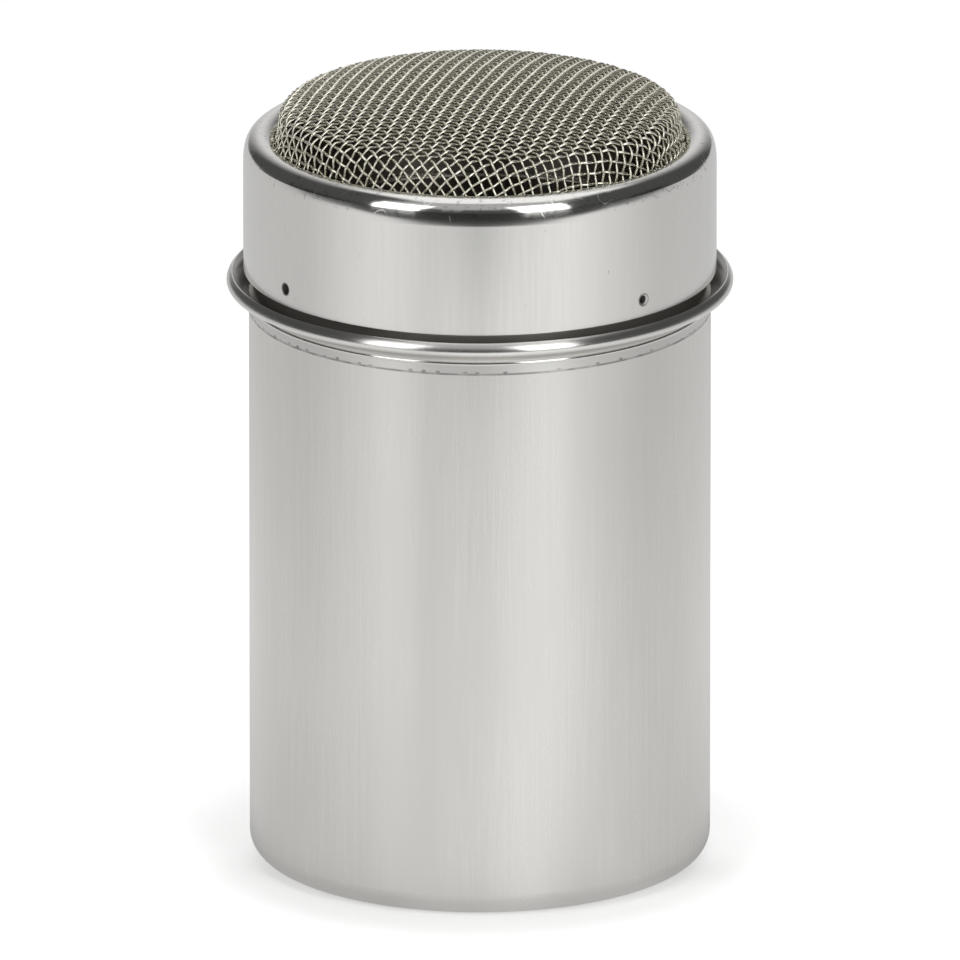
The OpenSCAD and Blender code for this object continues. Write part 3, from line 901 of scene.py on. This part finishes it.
def floor_finish():
    """White floor that reads as the white ground to the camera and keeps a faint shadow, partly real and
    partly painted near the cup's foot; to the metal it glows with a painted reflection.
    """
    finish = bpy.data.materials.new("floor white")
    finish.use_nodes = True
    tree = finish.node_tree
    tree.nodes.clear()
    path = node(tree, "ShaderNodeLightPath").outputs
    place = node(tree, "ShaderNodeTexCoord").outputs["Object"]
    away = vector_node(tree, "LENGTH", place)
    heading = vector_node(tree, "NORMALIZE", place)
    before = vector_node(tree, "DOT_PRODUCT", heading, FRONT)
    # Painted contact shadow in the floor's glow, around and before the cup's foot
    painted_front_shadow = times(tree, ramp_between(tree, before, *SHADE_TURN),
                   ramp_between(tree, away, *SHADE_REACH, SHADE_DEPTH, 0.0))
    glow_with_painted_shadow = math_node(tree, "SUBTRACT", ramp_between(tree, away, *FOOT_REACH, *FOOT_GLOW), painted_front_shadow)
    faint = node(tree, "ShaderNodeBsdfDiffuse", {"Color": WHITE})
    glow = node(tree, "ShaderNodeEmission", {"Color": WHITE, "Strength": glow_with_painted_shadow})
    ground = node(tree, "ShaderNodeAddShader", {0: faint.outputs[0], 1: glow.outputs[0]})
    cloud = grain(tree, place, CLOUD_SCALE, detail=2.0)
    white = node(tree, "ShaderNodeBsdfDiffuse", {"Color": shade(tree, cloud, *FLOOR_TONES)})
    # Glow painted on the floor for glossy rays only: a painted reflection with beams of light and a
    # shadow round the cup
    bright = painted_floor_light(tree, place, away, heading)
    seen = node(tree, "ShaderNodeEmission", {"Color": WHITE, "Strength": bright})
    lit = node(tree, "ShaderNodeMixShader", {
        0: path["Is Glossy Ray"], 1: white.outputs[0], 2: seen.outputs[0]})
    both = node(tree, "ShaderNodeMixShader", {
        0: path["Is Camera Ray"], 1: lit.outputs[0], 2: ground.outputs[0]})
    node(tree, "ShaderNodeOutputMaterial", {"Surface": both.outputs[0]})
    return finish


def studio_air():
    """World: white to the camera, and to the metal a dim room with a few pale parts."""
    world = bpy.data.worlds.new("studio room")
    bpy.context.scene.world = world
    world.use_nodes = True
    tree = world.node_tree
    tree.nodes.clear()
    x, y, z = axes(tree, node(tree, "ShaderNodeTexCoord").outputs["Generated"])
    off_panel = math_node(tree, "SUBTRACT", x, PANEL_SHIFT)
    ways = {"back": y, "up": z, "aside": math_node(tree, "ABSOLUTE", x),
            "off_panel": math_node(tree, "ABSOLUTE", off_panel)}
    room = ROOM_BRIGHTNESS
    for brightness, spans in ROOM_PARTS:
        part = 1.0
        for way, low, high in spans:
            part = times(tree, part, ramp_between(tree, ways[way], low, high))
        room = blend(tree, part, room, brightness)
    path = node(tree, "ShaderNodeLightPath").outputs
    lit = node(tree, "ShaderNodeBackground", {"Color": room})
    white = node(tree, "ShaderNodeBackground", {"Color": WHITE})
    seen = node(tree, "ShaderNodeMixShader", {
        0: path["Is Camera Ray"], 1: lit.outputs[0], 2: white.outputs[0]})
    node(tree, "ShaderNodeOutputWorld", {"Surface": seen.outputs[0]})


def direction(azimuth, elevation):
    """Way from the caster to a place round it; azimuth is from the front, to the right."""
    level = math.cos(elevation)
    return Vector((math.sin(azimuth) * level, -math.cos(azimuth) * level, math.sin(elevation)))


def add_softbox(name, azimuth, radiance):
    """Soft lamp that faces the caster."""
    lamp = bpy.data.lights.new(name, "AREA")
    lamp.shape = "RECTANGLE"
    lamp.size, lamp.size_y = SOFTBOX_WIDTH, SOFTBOX_HEIGHT
    lamp.energy = radiance * math.pi * SOFTBOX_WIDTH * SOFTBOX_HEIGHT
    back = direction(azimuth, SOFTBOX_ELEVATION)
    holder = bpy.data.objects.new(name, lamp)
    holder.location = SOFTBOX_AIM + back * SOFTBOX_DISTANCE
    holder.rotation_mode = "QUATERNION"
    holder.rotation_quaternion = back.to_track_quat("Z", "Y")
    bpy.context.scene.collection.objects.link(holder)


def add_camera(s):
    """Camera at the photograph's angle, with a long lens."""
    eye = bpy.data.cameras.new("photo camera")
    eye.lens = s.lens
    eye.sensor_width = SENSOR_WIDTH
    distance = s.frame_width * s.lens / SENSOR_WIDTH
    eye.clip_start, eye.clip_end = NEAREST, 2 * distance
    back = direction(0.0, s.elevation)
    holder = bpy.data.objects.new("photo camera", eye)
    holder.location = Vector(s.aim) + back * distance
    holder.rotation_mode = "QUATERNION"
    turn = (-back).to_track_quat("-Z", "Y").to_matrix() @ Matrix.Rotation(s.roll, 3, "Z")
    holder.rotation_quaternion = turn.to_quaternion()
    bpy.context.scene.collection.objects.link(holder)
    bpy.context.scene.camera = holder


class CASTER_OT_stage(bpy.types.Operator):
    """Lay the floor and set the light and the camera"""

    bl_idname = "caster.stage"
    bl_label = "Stage"

    def execute(self, context):
        start_fresh()
        bpy.ops.mesh.primitive_plane_add(size=FLOOR_SIZE, location=(0, 0, -FLOOR_DROP))
        floor = context.object
        floor.name = "studio_floor"
        bpy.ops.object.transform_apply(location=True)
        floor.data.materials.append(floor_finish())
        studio_air()
        for name, azimuth, share in SOFTBOXES:
            add_softbox(name, math.radians(azimuth), share * studio().softbox)
        add_camera(studio())
        context.scene.view_settings.view_transform = "Standard"
        return {"FINISHED"}


STEPS = (CASTER_OT_cup, CASTER_OT_collar, CASTER_OT_lid, CASTER_OT_retaining_ring, CASTER_OT_screen,
         CASTER_OT_stage)


class CASTER_PT_tools(bpy.types.Panel):
    """Pieces of the sugar caster"""

    bl_idname = "CASTER_PT_tools"
    bl_label = "Sugar Caster"
    bl_space_type = "VIEW_3D"
    bl_region_type = "UI"
    bl_category = "Sugar Caster"

    def draw(self, context):
        column = self.layout.column()
        for step in STEPS:
            column.operator(step.bl_idname)


GROUPS = (ScreenSizes, CollarSizes, SteelFinishes, StudioSetting)
CLASSES = GROUPS + STEPS + (CASTER_PT_tools,)


def register():
    for each in CLASSES:
        bpy.utils.register_class(each)
    bpy.types.Scene.caster_screen = bpy.props.PointerProperty(type=ScreenSizes)
    bpy.types.Scene.caster_collar = bpy.props.PointerProperty(type=CollarSizes)
    bpy.types.Scene.caster_steel = bpy.props.PointerProperty(type=SteelFinishes)
    bpy.types.Scene.caster_studio = bpy.props.PointerProperty(type=StudioSetting)


def unregister():
    del bpy.types.Scene.caster_screen, bpy.types.Scene.caster_collar
    del bpy.types.Scene.caster_steel, bpy.types.Scene.caster_studio
    for each in reversed(CLASSES):
        bpy.utils.unregister_class(each)


def main():
    register()
    bpy.ops.caster.cup()
    bpy.ops.caster.collar()
    bpy.ops.caster.lid()
    bpy.ops.caster.retaining_ring()
    bpy.ops.caster.screen()
    bpy.ops.caster.stage()


if __name__ == "__main__":
    main()
